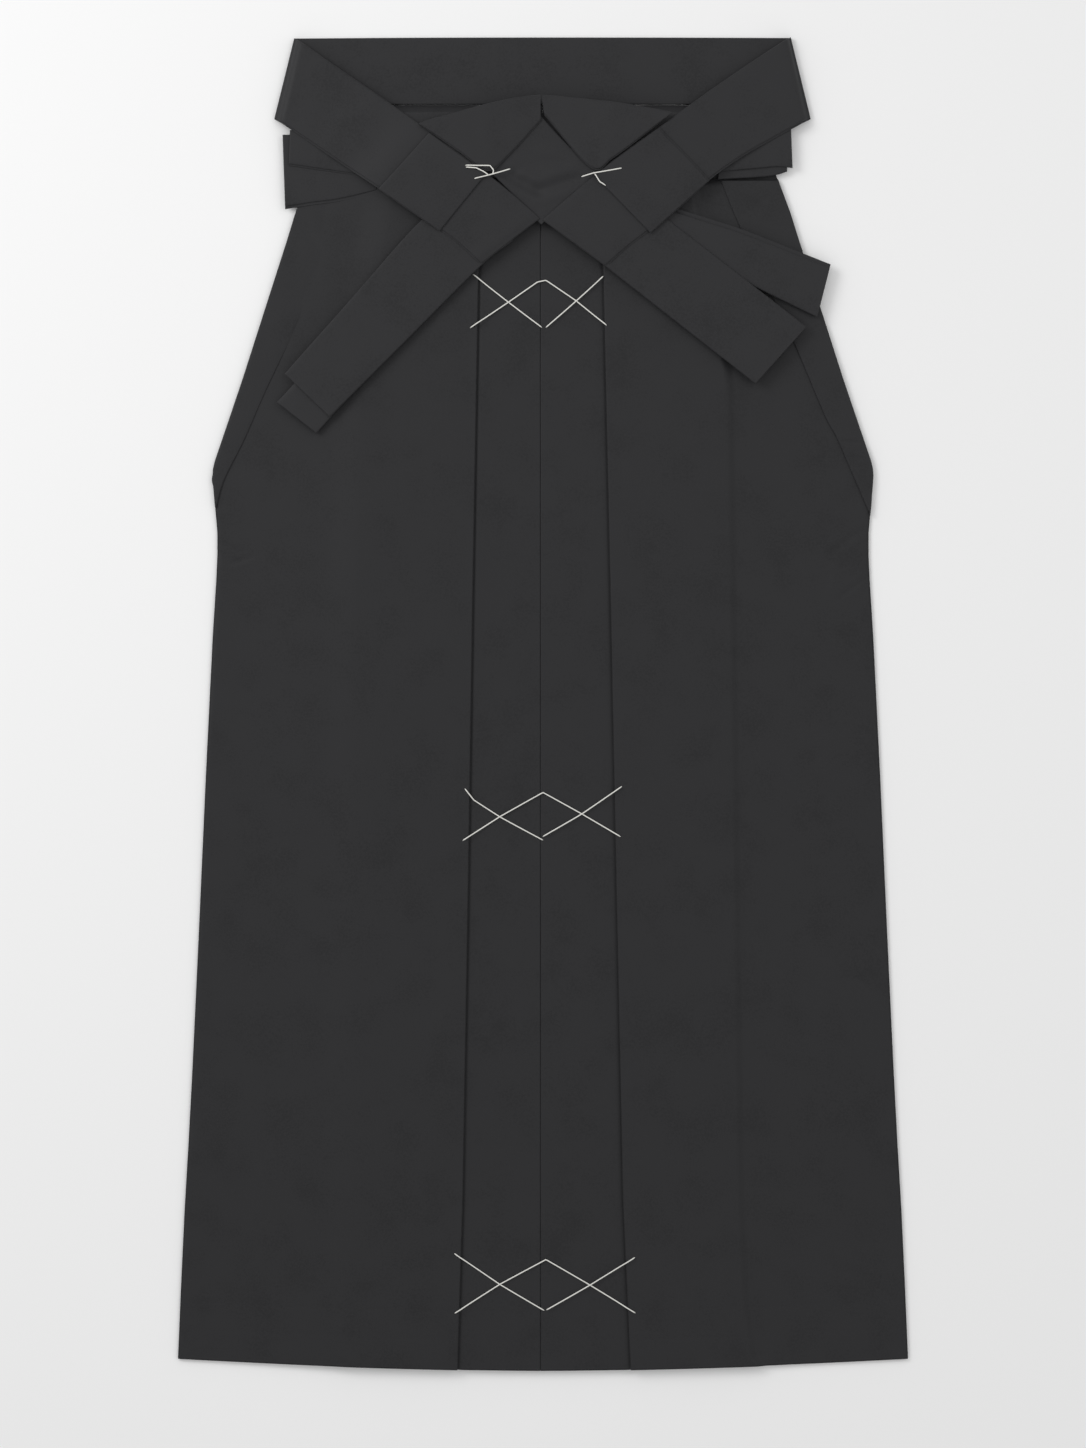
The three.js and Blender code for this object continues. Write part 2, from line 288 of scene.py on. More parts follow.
@dataclass(frozen=True)
class PleatedCloth:
    """Plain-woven polyester dyed charcoal black and pressed: nearly flat, with a faint satin sheen."""

    name: str
    shade: str
    light_shade: str
    roughness: float = 0.6
    yarn: float = 1.1  # real yarns are 0.3 mm apart; drawn coarser so that they still show
    painted_shade_patch: float = 34.0  # painted shade standing in for the shading of the cloth's gentle undulation, one patch in about this many millimetres
    grain_depth: float = 0.05

    def material(self) -> bpy.types.Material:
        """Build the cloth: colour clouded with painted shade, a fine grain and crossed yarns in the bump."""
        made = blank_material(self.name)
        tree = made.node_tree
        place = add(tree, "ShaderNodeTexCoord").outputs["Object"]
        flat = add(tree, "ShaderNodeUVMap", {"uv_map": "laid_flat"}).outputs["UV"]
        # Painted shade: large soft light and dark clouds in the colour stand in for the shading of the
        # cloth's gentle undulation; the fine grain added to them is the weave's own tone.
        painted_shade_clouds = add(tree, "ShaderNodeTexNoise", {"Scale": 1.0 / (self.painted_shade_patch * METRE), "Detail": 3.0,
                                                 "Roughness": 0.55}, {"Vector": place})
        grain = add(tree, "ShaderNodeTexNoise", {"Scale": 1.0 / (1.5 * METRE), "Detail": 2.0},
                    {"Vector": place})
        painted_shade_and_grain = add(tree, "ShaderNodeMath", {"operation": "ADD"},
                    {"0": painted_shade_clouds.outputs["Fac"], "1": grain.outputs["Fac"]})
        colour = add(tree, "ShaderNodeValToRGB", {}, {"Fac": painted_shade_and_grain.outputs[0]})
        low, high = colour.color_ramp.elements
        low.position, high.position = 0.72, 1.28
        low.color, high.color = linear(self.shade), linear(self.light_shade)
        warp = add(tree, "ShaderNodeTexWave", {"bands_direction": "X", "Distortion": 0.6, "Detail": 1.0,
                                               "Scale": 0.314 / (self.yarn * METRE)}, {"Vector": flat})
        weft = add(tree, "ShaderNodeTexWave", {"bands_direction": "Y", "Distortion": 0.6, "Detail": 1.0,
                                               "Scale": 0.314 / (self.yarn * METRE)}, {"Vector": flat})
        crossed = add(tree, "ShaderNodeMath", {"operation": "MAXIMUM"},
                      {"0": warp.outputs["Fac"], "1": weft.outputs["Fac"]})
        relief = add(tree, "ShaderNodeMath", {"operation": "ADD"},
                     {"0": crossed.outputs[0], "1": grain.outputs["Fac"]})
        bump = add(tree, "ShaderNodeBump", {"Strength": 0.35, "Distance": self.grain_depth * METRE},
                   {"Height": relief.outputs[0]})
        shader = add(tree, "ShaderNodeBsdfPrincipled",
                     {"Roughness": self.roughness, "Specular IOR Level": 0.32, "Sheen Weight": 0.06,
                      "Sheen Roughness": 0.45},
                     {"Base Color": colour.outputs["Color"], "Normal": bump.outputs["Normal"]})
        add(tree, "ShaderNodeOutputMaterial", {}, {"Surface": shader.outputs["BSDF"]})
        return made


@dataclass(frozen=True)
class BastingCotton:
    """Soft unbleached cotton basting thread: matt and slightly warm, with its two plies just visible."""

    name: str = "unbleached cotton basting thread"
    shade: str = "#e9e8e2"
    ply: float = 1.6  # length of one twist

    def material(self) -> bpy.types.Material:
        """Build the thread: one pale colour with slanted ridges from its twist."""
        made = blank_material(self.name)
        tree = made.node_tree
        flat = add(tree, "ShaderNodeUVMap", {"uv_map": "laid_flat"}).outputs["UV"]
        twist = add(tree, "ShaderNodeTexWave", {"bands_direction": "DIAGONAL",
                                                "Scale": 0.314 / (self.ply * METRE)}, {"Vector": flat})
        bump = add(tree, "ShaderNodeBump", {"Strength": 0.4, "Distance": 0.1 * METRE},
                   {"Height": twist.outputs["Fac"]})
        shader = add(tree, "ShaderNodeBsdfPrincipled",
                     {"Base Color": linear(self.shade), "Roughness": 0.85, "Specular IOR Level": 0.2},
                     {"Normal": bump.outputs["Normal"]})
        add(tree, "ShaderNodeOutputMaterial", {}, {"Surface": shader.outputs["BSDF"]})
        return made


@dataclass(frozen=True)
class StudioPaper:
    """Matt white background paper, which shows only a soft shadow."""

    name: str = "matt white background paper"
    shade: str = "#fbfbfb"

    def material(self) -> bpy.types.Material:
        """Build the paper as one even white."""
        made = blank_material(self.name)
        tree = made.node_tree
        shader = add(tree, "ShaderNodeBsdfPrincipled",
                     {"Base Color": linear(self.shade), "Roughness": 0.95, "Specular IOR Level": 0.0})
        add(tree, "ShaderNodeOutputMaterial", {}, {"Surface": shader.outputs["BSDF"]})
        return made


# ---------------------------------------------------------------- garment panels

# height above the hem, half width of the garment
SIDE_OUTLINE = (
    (0, 285.0), (56, 282.7), (118, 279.8), (173, 276.6), (227, 273.8), (330, 269.0), (461, 263.2),
    (571, 257.8), (612, 255.2), (633, 254.2), (652, 254.2), (668, 255.6), (682, 256.8), (698, 258.2),
    (705, 257.3), (719, 252.6), (773, 234.5), (836, 214.5), (883, 199.5), (903, 193.5), (930, 183.5),
    (988.2, 165.0),
)


@dataclass(frozen=True)
class Levels:
    """Middle heights of the garment's layers above the surface, and how thick their walls are."""

    wall: float = 0.7
    back_wall: float = 1.0
    inner_wall: float = 0.6
    back: float = 0.5
    inner_leg: float = 1.55
    outer: float = 2.25
    base: float = 2.75
    centre_return: float = 3.7
    centre_panel: float = 4.7
    side_return: float = 5.75
    side_panel: float = 6.8


@dataclass(frozen=True)
class WallSection:
    """A wall of cloth carried up the garment: a path across it at each height, then thickened."""

    rows: np.ndarray
    across: np.ndarray
    level: np.ndarray
    wall: float

    def ring_grid(self) -> np.ndarray:
        """Offset the path by half the wall along its normal (-dz, dx) on each side.

        Returns:
            rows x points x 3 array, the upper face out and the lower face back.
        """
        dx, dz = np.gradient(self.across, axis=1), np.gradient(self.level, axis=1)
        scale = self.wall / 2 / np.hypot(dx, dz)
        upper = np.stack([self.across - dz * scale, self.level + dx * scale], axis=-1)
        lower = np.stack([self.across + dz * scale, self.level - dx * scale], axis=-1)[:, ::-1]
        ring = np.concatenate([upper, lower], axis=1)
        h = self.rows[:, None] + hem_lift(ring[..., 0], self.rows[:, None])
        return np.stack([ring[..., 0], h, ring[..., 1]], axis=-1)

    def laid_out(self) -> np.ndarray:
        """Place on the uncut cloth: the length walked along the path, and the height."""
        step = np.hypot(np.diff(self.across, axis=1), np.diff(self.level, axis=1))
        walked = np.concatenate([np.zeros((len(self.rows), 1)), np.cumsum(step, axis=1)], axis=1)
        both = np.concatenate([walked, walked[:, ::-1]], axis=1)
        return np.stack([both, np.broadcast_to(self.rows[:, None], both.shape)], axis=-1)


class FoldedPath:
    """A path across the garment at many heights at once, laid run by run and fold by fold."""

    def __init__(self, radius: float) -> None:
        """Start an empty path whose folds all have one radius."""
        self.radius = radius
        self.across: list[np.ndarray] = []
        self.level: list[np.ndarray] = []

    def run(self, start: np.ndarray, end: np.ndarray, shares: np.ndarray, z: float) -> None:
        """Go straight at one level: start + (end - start) * share.

        Args:
            start: where the run begins, at each height.
            end: where it ends.
            shares: places along it.
            z: its level.
        """
        self.across.append(start[:, None] + (end - start)[:, None] * shares[None, :])
        self.level.append(np.full((len(start), len(shares)), z))

    def fold(self, at: np.ndarray, low: float, high: float, outward: int, count: int) -> None:
        """Turn back over half a circle, from one level to the next.

        Args:
            at: the fold's outermost place, at each height.
            low: level before the fold.
            high: level after it.
            outward: 1 when it bulges away from the centre, -1 when towards it.
            count: points round it.
        """
        angle = np.linspace(-math.pi / 2, math.pi / 2, count + 2)[1:-1]
        self.across.append(at[:, None] - outward * self.radius * (1.0 - np.cos(angle))[None, :])
        rise = (low + high) / 2 + (high - low) / 2 * np.sin(angle)
        self.level.append(np.broadcast_to(rise, (len(at), count)))


@dataclass(frozen=True)
class BackPanel:
    """One half of the back: a single flat layer on the surface."""

    side: int
    word: str
    levels: Levels = Levels()

    def build(self, material: bpy.types.Material) -> bpy.types.Object:
        """Spread one flat wall from the centre back to the side edge at each height."""
        rows = np.linspace(0.0, BACK_TOP, 100)
        edge = column(SIDE_OUTLINE, rows) - 0.4
        across = self.side * (0.15 + (edge[:, None] - 0.15) * np.linspace(0.0, 1.0, 30)[None, :])
        level = np.full_like(across, self.levels.back)
        if self.side < 0:
            across = across[:, ::-1]
        section = WallSection(rows, across, level, self.levels.back_wall)
        piece = mesh_piece(f"back_cloth_{self.word}", section.ring_grid(), section.laid_out(), material)
        settle(piece, (f"back_panel_{self.word}",))
        return piece


@dataclass(frozen=True)
class InnerLeg:
    """One inner leg piece, hidden between front and back, narrowing from the hem to the crotch."""

    side: int
    word: str
    hem_width: float = 60.0
    crotch_width: float = 12.0
    crotch: float = 560.0
    levels: Levels = Levels()

    def build(self, material: bpy.types.Material) -> bpy.types.Object:
        """Spread one narrow flat wall beside the centre."""
        rows = np.linspace(2.0, self.crotch, 60)
        width = self.crotch_width + (self.hem_width - self.crotch_width) * (1.0 - rows / self.crotch)
        across = self.side * (0.2 + width[:, None] * np.linspace(0.0, 1.0, 8)[None, :])
        if self.side < 0:
            across = across[:, ::-1]
        level = np.full_like(across, self.levels.inner_leg)
        section = WallSection(rows, across, level, self.levels.inner_wall)
        piece = mesh_piece(f"inner_leg_cloth_{self.word}", section.ring_grid(), section.laid_out(), material)
        settle(piece, (f"inner_leg_{self.word}",))
        return piece


@dataclass(frozen=True)
class FrontPanel:
    """One half of the pleated front: a centre pleat and a side pleat folded from one length of cloth."""

    side: int
    word: str
    centre: float  # where this half's centre edge lies, outwards from the middle
    pleat_line: tuple[tuple[float, float], ...]  # height, visible pleat line
    crest: tuple[tuple[float, float], ...]  # height, where the top layer starts to sink
    steep_share: float  # share of the sinking that is quick
    steep_run: float
    gentle_run: float
    creases: tuple[Crease, ...]
    levels: Levels = Levels()
    fold_radius: float = 0.5
    centre_fold: float = 86.0  # where the hidden turn of the centre pleat lies
    crest_inset: float = 3.0  # how far inside the crest the hidden turn of the side pleat lies
    slot_depth: float = 0.9
    slot_width: float = 1.3
    hem_stitches: tuple[float, ...] = (46.0, 24.0)

    def rows(self) -> np.ndarray:
        """Heights of the sections: close together at the hem and where the side edges are creased."""
        spacing = ((0, 1.2), (60, 1.5), (85, 2.5), (120, 4.0), (270, 4.0), (290, 2.6), (335, 2.6), (360, 6.0),
                   (585, 6.0), (600, 1.6), (665, 1.6), (690, 5.0), (FRONT_TOP, 5.0))
        fine = np.linspace(0.0, FRONT_TOP, 4000)
        count = np.cumsum(1.0 / column(spacing, fine)) * (fine[1] - fine[0])
        return np.interp(np.linspace(count[0], count[-1], 230), count, fine)

    def section(self) -> WallSection:
        """Fold the path: base, centre return, centre panel, side return, then the side panel on top.

        The side panel sinks beyond its crest by a quick smooth step and a slow one, added together.
        """
        h = self.rows()
        line, crest, edge = column(self.pleat_line, h), column(self.crest, h), column(SIDE_OUTLINE, h)
        hidden_centre = self.centre_fold + 0.0 * h
        hidden_side = crest - self.crest_inset
        lv, r = self.levels, self.fold_radius
        seam = self.centre + 0.15 + 0.0 * h
        centre_edge = self.centre + 0.35 + 0.0 * h
        path = FoldedPath(r)
        few = np.linspace(0.0, 1.0, 7)
        path.run(seam, hidden_centre - r, few, lv.base)
        path.fold(hidden_centre, lv.base, lv.centre_return, 1, 4)
        path.run(hidden_centre - r, centre_edge + r, few, lv.centre_return)
        path.fold(centre_edge, lv.centre_return, lv.centre_panel, -1, 6)
        path.run(centre_edge + r, line + 1.0, eased(28), lv.centre_panel)
        path.run(line + 4.0, hidden_side - r, few, lv.centre_panel)
        path.fold(hidden_side, lv.centre_panel, lv.side_return, 1, 4)
        path.run(hidden_side - r, line + r, few, lv.side_return)
        turns, plateau = 7, eased(34)
        path.fold(line, lv.side_return, lv.side_panel, -1, turns)
        path.run(line + r, crest, plateau, lv.side_panel)
        outer = (np.linspace(0.0, 1.0, 64) ** 1.35)[1:]
        path.run(crest, edge, outer, lv.side_panel)
        x, z = np.concatenate(path.across, axis=1), np.concatenate(path.level, axis=1)
        place = np.arange(x.shape[1])
        outer_part = place >= x.shape[1] - len(outer)
        top = place >= x.shape[1] - len(outer) - len(plateau) - turns
        fall = self.sinking(x - crest[:, None]) * outer_part
        z = z - (lv.side_panel - lv.outer) * fall
        slot = np.exp(-((x - line[:, None] + 0.6) / self.slot_width) ** 2)
        z = z - self.slot_depth * slot * ~top * (np.abs(z - lv.side_return) > 0.4)
        centre_seen = (np.abs(z - lv.centre_panel) < 1.6) & (x < line[:, None] + 1.5)
        seen = (top | centre_seen).astype(float)
        place_x, place_h = self.side * x, h[:, None] + 0.0 * x
        seam_dimples = sum(self.stitch_row(place_x, place_h, at) for at in self.hem_stitches)
        free = smooth((place_h - 3.0) / 12.0) * smooth((edge[:, None] - x) / 3.0)
        z = z + seen * (creased(self.creases, place_x, place_h) + seam_dimples
                        + free * undulation(place_x, place_h, 0.10, 55.0, 11 + self.side)
                        + free * undulation(place_x, 0.25 * place_h, 0.10, 38.0, 31 + self.side))
        roll = 1.0 - np.sqrt(np.clip(1.0 - (1.0 - np.clip((edge[:, None] - x) / 1.6, 0, 1)) ** 2, 0, 1))
        z = z - 0.5 * roll * outer_part
        across_out = self.side * x
        if self.side < 0:
            across_out, z = across_out[:, ::-1], z[:, ::-1]
        return WallSection(h, across_out, z, lv.wall)

    def sinking(self, beyond: np.ndarray) -> np.ndarray:
        """Share of the drop at a distance beyond the crest: a quick smooth step and a slow one."""
        quick = smooth(beyond / self.steep_run)
        slow = 1.0 - np.exp(-(np.clip(beyond, 0.0, None) / self.gentle_run) ** 1.5)
        return self.steep_share * quick + (1.0 - self.steep_share) * slow

    def stitch_row(self, x: np.ndarray, h: np.ndarray, at: float) -> np.ndarray:
        """Blind hem stitches: a shallow groove along the hem, pulled in every 9 mm."""
        pull = 0.55 + 0.45 * np.cos(2 * math.pi * x / 9.0 + 0.7 * np.sin(x / 23.0))
        return -0.16 * pull * np.exp(-((h - at) / 1.8) ** 2)

    def build(self, material: bpy.types.Material) -> bpy.types.Object:
        """Loft the folded section from hem to waist."""
        section = self.section()
        laid = section.laid_out()
        piece = mesh_piece(f"front_cloth_{self.word}", section.ring_grid(), laid, material)
        settle(piece, (f"front_panel_{self.word}",))
        return piece


# ---------------------------------------------------------------- folded strips


class Edge(Enum):
    """How a strip's long edge looks."""

    FOLD = "one rounded fold"
    LAYERED = "two rounded layers, the lower one standing out a little"


class End(Enum):
    """How a strip's short end looks."""

    HIDDEN = "cut square under its neighbour"
    ROLLED = "rolled softly under"
    FOLDED = "one crisp rounded fold"


@dataclass(frozen=True)
class Strip:
    """A flat folded strip through matching points on its two long edges."""

    name: str
    node: str
    upper: tuple[tuple[float, float], ...]
    lower: tuple[tuple[float, float], ...]
    level: tuple[float, ...]  # underside at each pair of points
    thickness: float = 1.8
    upper_edge: Edge = Edge.FOLD
    lower_edge: Edge = Edge.LAYERED
    first: End = End.HIDDEN
    last: End = End.HIDDEN
    step: float = 1.5  # how far the lower layer stands out
    puff: float = 0.35  # how far the middle swells above the edges
    unevenness: float = 0.12
    ease: float = 1.02  # cut length over the length that shows
    least_share: float = 0.31
    seed: int = 1
    creases: tuple[Crease, ...] = ()
    slot: str = "tie_cloth"
    rests_on: tuple[str, ...] = ("front_cloth_left", "front_cloth_right")

    def edge_profile(self, kind: Edge) -> np.ndarray:
        """Half circles round an edge, from the underside to the top: inset and height about the middle.

        A folded edge is one half circle of half the thickness. A layered edge is two of a quarter of it,
        the upper one set back by the step, with a groove between them.
        """
        r = self.thickness / 2
        if kind is Edge.FOLD:
            a = np.linspace(-math.pi / 2, math.pi / 2, 8)
            return np.stack([r * (1 - np.cos(a)), r * np.sin(a)], axis=-1)
        a, q = np.linspace(-math.pi / 2, math.pi / 2, 6), r / 2
        low = np.stack([q * (1 - np.cos(a)), -q + q * np.sin(a)], axis=-1)
        groove = np.array([[self.step + 1.4, -0.06], [self.step + 1.4, 0.06]])
        high = np.stack([self.step + q * (1 - np.cos(a)), q + q * np.sin(a)], axis=-1)
        low[-1, 1], high[0, 1] = -0.12, 0.12
        return np.concatenate([low, groove, high])

    def along(self, length: float) -> np.ndarray:
        """Shares along the strip, about 2.2 mm apart and crowded at both ends."""
        count = max(14, int(length / 2.2))
        fine = np.array([0.0, 0.06, 0.2, 0.45, 0.8, 1.3, 2.0]) / length
        main_run = np.linspace(fine[-1], 1.0 - fine[-1], count)
        return np.concatenate([fine[:-1], main_run, 1.0 - fine[:-1][::-1]])

    def end_shape(self, share: np.ndarray, length: float) -> tuple[np.ndarray, np.ndarray]:
        """Thickness share and drop near the ends.

        A folded end's thickness follows a quarter circle, sqrt(1 - (1 - d/r)^2). A rolled end also sinks, by
        drop * (1 - smooth(d / 6 mm)).

        Args:
            share: places along the strip.
            length: its length.
        Returns:
            The share of the thickness, and the drop in millimetres, at each place.
        """
        thick, drop = np.ones_like(share), np.zeros_like(share)
        r = self.thickness / 2
        for kind, d in ((self.first, share * length), (self.last, (1.0 - share) * length)):
            if kind is not End.HIDDEN:
                thick *= np.sqrt(np.clip(1.0 - (1.0 - np.clip(d / r, 0.12, 1.0)) ** 2, 0.0, 1.0))
            if kind is End.ROLLED:
                drop += 0.9 * (1.0 - smooth(d / 7.0))
        return thick, drop

    def grid(self) -> tuple[np.ndarray, np.ndarray, float, float]:
        """Carry the closed profile along the two edges.

        A ring point lies at A + (B - A) / w * (alpha w + beta), where w is the width there.

        Returns:
            The ring grid, its places on the flat strip, the strip's length and its greatest width.
        """
        a_points, b_points = np.asarray(self.upper, float), np.asarray(self.lower, float)
        middle = (a_points + b_points) / 2
        length = float(np.hypot(*np.diff(middle, axis=0).T).sum())
        share = self.along(length)
        dense = np.linspace(0.0, 1.0, 400)
        a_line, b_line = through(a_points, 400), through(b_points, 400)
        place = share * (len(a_points) - 1)
        a = np.stack([np.interp(share, dense, a_line[:, i]) for i in (0, 1)], axis=-1)
        b = np.stack([np.interp(share, dense, b_line[:, i]) for i in (0, 1)], axis=-1)
        knots = np.asarray(self.level, float)
        low = np.clip(place.astype(int), 0, len(knots) - 2)
        level = knots[low] + (knots[low + 1] - knots[low]) * smooth(place - low)
        width = np.hypot(*(b - a).T)
        near, far = self.edge_profile(self.upper_edge), self.edge_profile(self.lower_edge)
        span = np.linspace(0.0, 1.0, max(8, int(width.max() / 2.0)) + 2)[1:-1]
        inset_a, inset_b = near[-1, 0], far[-1, 0]
        top_alpha, top_beta = span, inset_a * (1 - span) - inset_b * span
        alpha = np.concatenate([np.zeros(len(near)), top_alpha, np.ones(len(far))])
        beta = np.concatenate([near[:, 0], top_beta, -far[::-1, 0]])
        rise = np.concatenate([near[:, 1], np.full(len(span), self.thickness / 2), far[::-1, 1]])
        flat_top = np.concatenate([np.zeros(len(near)), np.ones(len(span)), np.zeros(len(far))])
        half = len(alpha)
        under_alpha = np.linspace(1.0, 0.0, half)
        under_beta = -(far[0, 0] + 0.2) * under_alpha + (near[0, 0] + 0.2) * (1 - under_alpha)
        alpha, beta = np.concatenate([alpha, under_alpha]), np.concatenate([beta, under_beta])
        rise = np.concatenate([rise, np.full(half, -self.thickness / 2)])
        flat_top = np.concatenate([flat_top, np.zeros(half)])
        thick, drop = self.end_shape(share, length)
        offset = np.clip(alpha * width[:, None] + beta, 0.0, width[:, None])
        spot = a[:, None, :] + (b - a)[:, None, :] * (offset / width[:, None])[..., None]
        x, h = spot[..., 0], spot[..., 1]
        z = level[:, None] + self.thickness / 2 + rise * thick[:, None] - drop[:, None]
        across_share = np.clip(offset / width[:, None], 0, 1)
        swell = self.puff * (4 * across_share * (1 - across_share)) ** 0.7
        bend = undulation(x, h, self.unevenness, 34.0, self.seed) + creased(self.creases, x, h)
        z = z + flat_top * thick[:, None] * swell + (flat_top * 0.8 + 0.2) * thick[:, None] * bend
        laid = np.stack([offset, np.broadcast_to((share * length)[:, None], offset.shape)], axis=-1)
        return np.stack([x, h, z], axis=-1), laid, length, float(width.max())

    def build(self, material: bpy.types.Material) -> bpy.types.Object:
        """Make the strip and tell the frame about it."""
        grid, laid, length, width = self.grid()
        piece = mesh_piece(self.name, grid, laid, material)
        settle(piece, (self.node,))
        return piece


# ---------------------------------------------------------------- the ties

LOW, MIDDLE, LATTICE, TOP = 9.2, 11.0, 12.8, 14.7


def side_fold(side: int, word: str, inner: tuple[tuple[float, float], ...],
              creases: tuple[Crease, ...]) -> Strip:
    """The leaf-shaped fold along one side opening.

    Args:
        side: -1 for the viewer's left, +1 for the right.
        word: left or right.
        inner: height and distance out of its inner edge, from the point upwards.
        creases: its creases.
    Returns:
        The strip, from its top end down to its point.
    """
    heights = np.asarray(inner, float)[::-1, 0]
    outer = column(SIDE_OUTLINE, heights)
    inside = column(inner, heights)
    return Strip(
        name=f"side_fold_cloth_{word}", node=f"side_fold_{word}",
        upper=tuple((side * float(x), float(h)) for x, h in zip(outer, heights)),
        lower=tuple((side * float(x), float(h)) for x, h in zip(inside, heights)),
        level=(2.85,) * len(heights), thickness=1.1, lower_edge=Edge.FOLD, puff=0.25, unevenness=0.14,
        seed=40 + side, creases=creases, slot="pleated_cloth", rests_on=(f"front_cloth_{word}",))


LEFT_SIDE_INNER = ((673.5, 255.1), (689, 251.0), (699, 247.2), (726.6, 233.2), (765.6, 216.0), (804.6, 197.3),
                   (849.8, 177.8), (878, 164.6), (906, 152.0), (925, 143.5))
RIGHT_SIDE_INNER = ((667.3, 255.6), (681.3, 249.6), (704.7, 239.5), (728.1, 229.3), (742.2, 221.5),
                    (764, 212.2), (800.7, 196.6), (847.5, 174.7), (894.3, 152.9), (928.6, 138.8))

